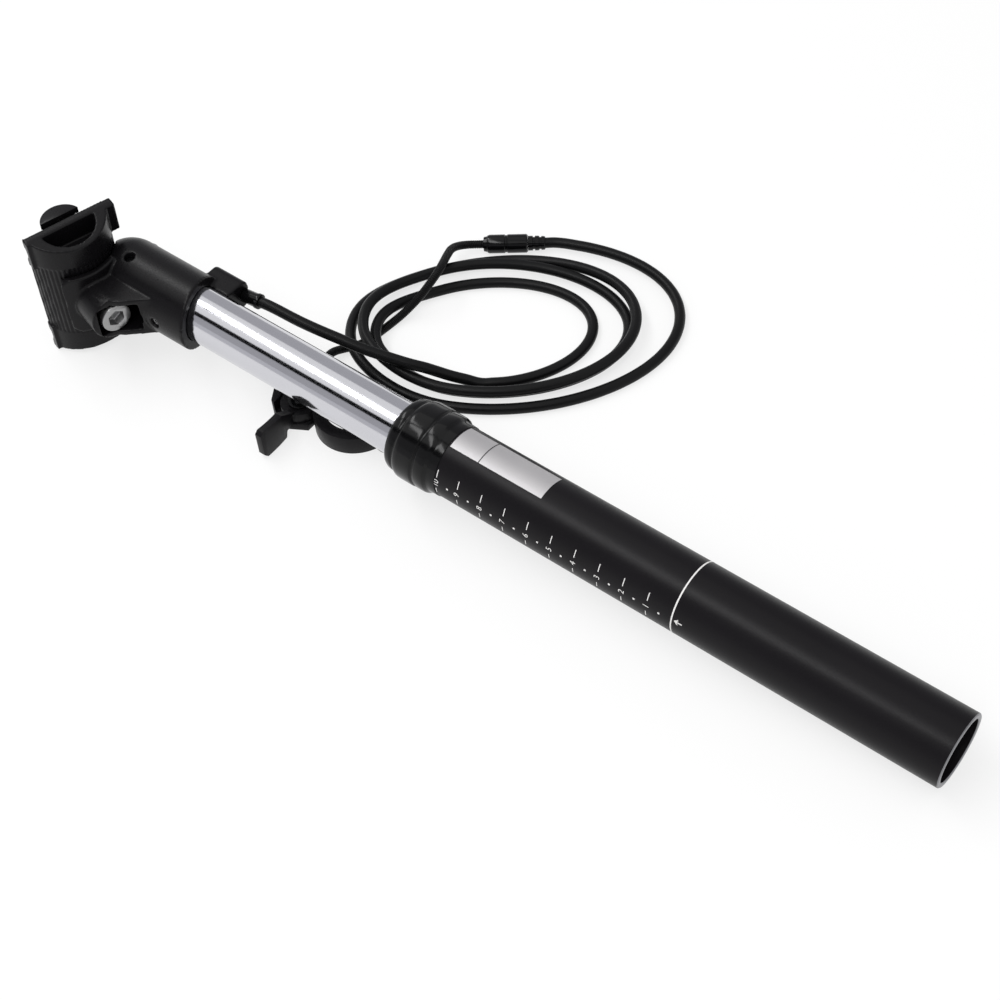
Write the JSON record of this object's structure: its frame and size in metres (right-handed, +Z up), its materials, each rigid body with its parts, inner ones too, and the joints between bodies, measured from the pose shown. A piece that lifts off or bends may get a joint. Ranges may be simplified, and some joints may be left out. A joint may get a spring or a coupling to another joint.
{
  "type": "dropper seatpost",
  "caption": "Telescoping bicycle seatpost with seal collar, forged head, single-bolt rail clamp and a coiled cable to a bar remote.",
  "frame": {"origin": "middle of the footprint of the post and its remote, without the cords, on the floor", "axes": "+X along the post to the head, +Y to the rear of the bike (the bolt side), +Z up as the post lies on its side"},
  "size_m": [0.3934, 0.1665, 0.0578],
  "materials": {
    "anodised_black": "satin black anodised",
    "gloss_black": "gloss black anodised",
    "forged_black": "satin black forged",
    "polished_aluminium": "polished",
    "steel": "bare",
    "brass": "turned",
    "rubber": "matte",
    "housing": "matte black cable housing",
    "glide_polymer": "moulded"
  },
  "bodies": {
    "outer": {"outer_tube": "anodised_black", "collar": "gloss_black", "wiper_seal": "rubber", "upper_bush": "glide_polymer", "bottom_plug": "forged_black", "plug_circlip": "steel", "piston_rod": "steel", "rod_nut": "steel", "piston": "brass", "piston_seal": "rubber"},
    "upper": {"stanchion": "polished_aluminium", "lower_glide": "glide_polymer", "guide_keys": "brass", "cartridge_gland": "brass", "cartridge_body": "steel", "valve_head": "forged_black", "head": "forged_black", "head_grub_screw": "steel", "actuator_pin": "steel", "cable_ferrule": "gloss_black", "bar_ring": "forged_black", "remote_body": "forged_black", "ring_screw": "steel", "lever_bush": "brass", "pivot_screw": "steel", "barrel_adjuster": "gloss_black", "cable_run": "housing", "cable_coil": "housing", "inline_nose": "gloss_black", "inline_sleeve": "gloss_black", "cable_tail": "housing"},
    "valve": {"valve_pin": "steel"},
    "actuator": {"actuator_lever": "forged_black"},
    "wire": {"inner_wire": "steel"},
    "clamp": {"lower_clamp": "forged_black", "upper_clamp": "forged_black", "clamp_bolt": "steel", "bolt_washer": "steel", "clamp_nut": "steel"},
    "lever": {"thumb_lever": "forged_black"}
  },
  "joints": [
    {"name": "post_travel", "type": "slide", "parent": "outer", "child": "upper", "axis": [-0.9992, 0, -0.041], "range_m": [0, 0.08]},
    {"name": "saddle_tilt", "type": "hinge", "parent": "upper", "child": "clamp", "pos_m": [0.1841, 0.009, 0.02918], "axis": [0.041, 0, -0.9992], "range_deg": [-6, 1]},
    {"name": "thumb_press", "type": "hinge", "parent": "upper", "child": "lever", "pos_m": [0.08082, -0.0016, 0.005], "axis": [0, 0, 1], "range_deg": [0, 24], "stiffness_Nm_per_rad": 0.05},
    {"name": "actuator_turn", "type": "hinge", "parent": "upper", "child": "actuator", "pos_m": [0.16012, -0.0001, 0.0282], "axis": [0.041, 0, -0.9992], "range_deg": [0, 12]},
    {"name": "wire_pull", "type": "slide", "parent": "upper", "child": "wire", "axis": [-0.9927, -0.1132, -0.0407], "range_m": [0, 0.0033]},
    {"name": "valve_press", "type": "slide", "parent": "upper", "child": "valve", "axis": [-0.9992, 0, -0.041], "range_m": [0, 0.0008]}
  ],
  "couplings": [
    {"joint": "actuator_turn", "follows": "thumb_press", "ratio": 0.5},
    {"joint": "wire_pull", "follows": "thumb_press", "m_per_rad": 0.007878},
    {"joint": "valve_press", "follows": "thumb_press", "m_per_rad": 0.00191}
  ]
}
